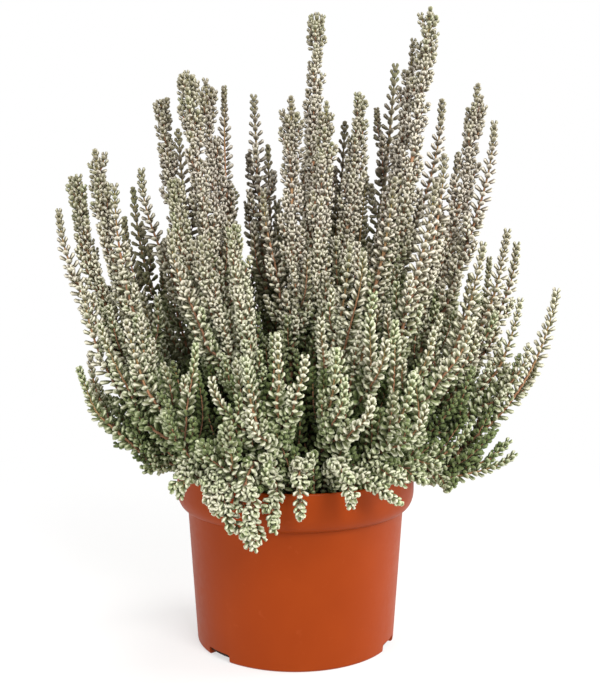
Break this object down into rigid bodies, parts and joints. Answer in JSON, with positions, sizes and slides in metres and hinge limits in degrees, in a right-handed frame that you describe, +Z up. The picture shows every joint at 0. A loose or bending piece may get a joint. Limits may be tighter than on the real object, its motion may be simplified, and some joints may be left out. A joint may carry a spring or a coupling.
{
  "type": "potted heather plant",
  "caption": "Potted heather: a fan of upright silver-green leafy stems with a few sprays over the rim, rooted in peat in a round nursery pot with a taller collar.",
  "frame": {"origin": "middle of the pot's flat underside, where the pot stands", "axes": "+Z up along the pot's axis, -Y towards the front of the plant, +X to the right as seen from the front"},
  "size_m": [0.2302, 0.1709, 0.2934],
  "materials": {
    "pot": "satin moulded terracotta-coloured plastic",
    "peat": "matt crumbly peat",
    "foliage": "matt downy silver-green leaves on red-brown stems"
  },
  "bodies": {
    "root": {"pot": "pot", "peat": "peat", "stem_01": "foliage", "stem_02": "foliage", "stem_03": "foliage", "stem_04": "foliage", "stem_05": "foliage", "stem_06": "foliage", "stem_07": "foliage", "stem_08": "foliage", "stem_09": "foliage", "stem_10": "foliage", "stem_11": "foliage", "stem_12": "foliage", "stem_13": "foliage", "stem_14": "foliage", "stem_15": "foliage", "stem_16": "foliage", "stem_17": "foliage", "stem_18": "foliage", "stem_19": "foliage", "stem_20": "foliage", "stem_21": "foliage", "stem_22": "foliage", "stem_23": "foliage", "stem_24": "foliage", "stem_25": "foliage", "stem_26": "foliage", "stem_27": "foliage", "stem_28": "foliage", "stem_29": "foliage", "stem_30": "foliage", "stem_31": "foliage", "stem_32": "foliage", "stem_33": "foliage", "stem_34": "foliage", "stem_35": "foliage", "stem_36": "foliage", "stem_37": "foliage", "stem_38": "foliage", "stem_39": "foliage", "stem_40": "foliage", "stem_41": "foliage", "stem_42": "foliage", "stem_43": "foliage", "stem_44": "foliage", "stem_45": "foliage", "stem_46": "foliage", "stem_47": "foliage", "stem_48": "foliage", "stem_49": "foliage", "stem_50": "foliage", "stem_51": "foliage", "stem_52": "foliage", "stem_53": "foliage", "stem_54": "foliage", "stem_55": "foliage", "stem_56": "foliage", "stem_57": "foliage", "stem_58": "foliage"}
  },
  "joints": []
}
